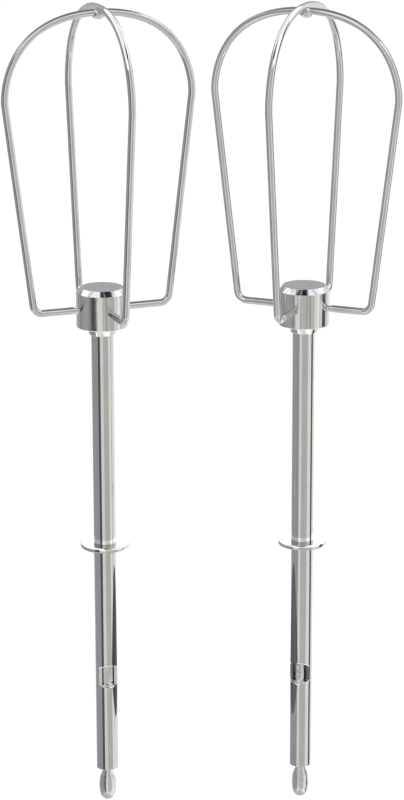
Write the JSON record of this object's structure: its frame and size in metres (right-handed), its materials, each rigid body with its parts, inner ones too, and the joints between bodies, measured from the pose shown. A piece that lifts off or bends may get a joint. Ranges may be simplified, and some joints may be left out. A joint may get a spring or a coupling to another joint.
{
  "type": "hand mixer beaters",
  "caption": "Pair of hand mixer beaters: round shafts with tip pins, locking windows and collar rings, and wire whisk cages on turned hubs.",
  "frame": {"origin": "midway between the two shaft axes, level with the bottom of the drive tips", "axes": "+Z along the shafts from the drive tips to the whisks; +X from the left beater's axis to the right one's; -Y is the side that the shaft windows face"},
  "size_m": [0.1005, 0.0492, 0.2158],
  "materials": {
    "shaft_chrome": "polished, with fine drawing marks along the shaft",
    "tip_chrome": "polished, turned",
    "collar_chrome": "polished",
    "hub_chrome": "polished, with faint turning marks on the top",
    "wire_chrome": "bright drawn wire",
    "weld_steel": "satin, mottled"
  },
  "bodies": {
    "left_beater": {"left_shaft_tube": "shaft_chrome", "left_tip_pin": "tip_chrome", "left_collar_ring": "collar_chrome", "left_hub": "hub_chrome", "left_loop_outer": "wire_chrome", "left_loop_inner": "wire_chrome", "left_crossing_weld": "weld_steel"},
    "right_beater": {"right_shaft_tube": "shaft_chrome", "right_tip_pin": "tip_chrome", "right_collar_ring": "collar_chrome", "right_hub": "hub_chrome", "right_loop_outer": "wire_chrome", "right_loop_inner": "wire_chrome", "right_crossing_weld": "weld_steel"}
  },
  "joints": [
    {"name": "right_beater_spin", "type": "hinge", "parent": "left_beater", "child": "right_beater", "pos_m": [0.02615, 0, 0], "axis": [0, 0, 1], "continuous": true}
  ]
}
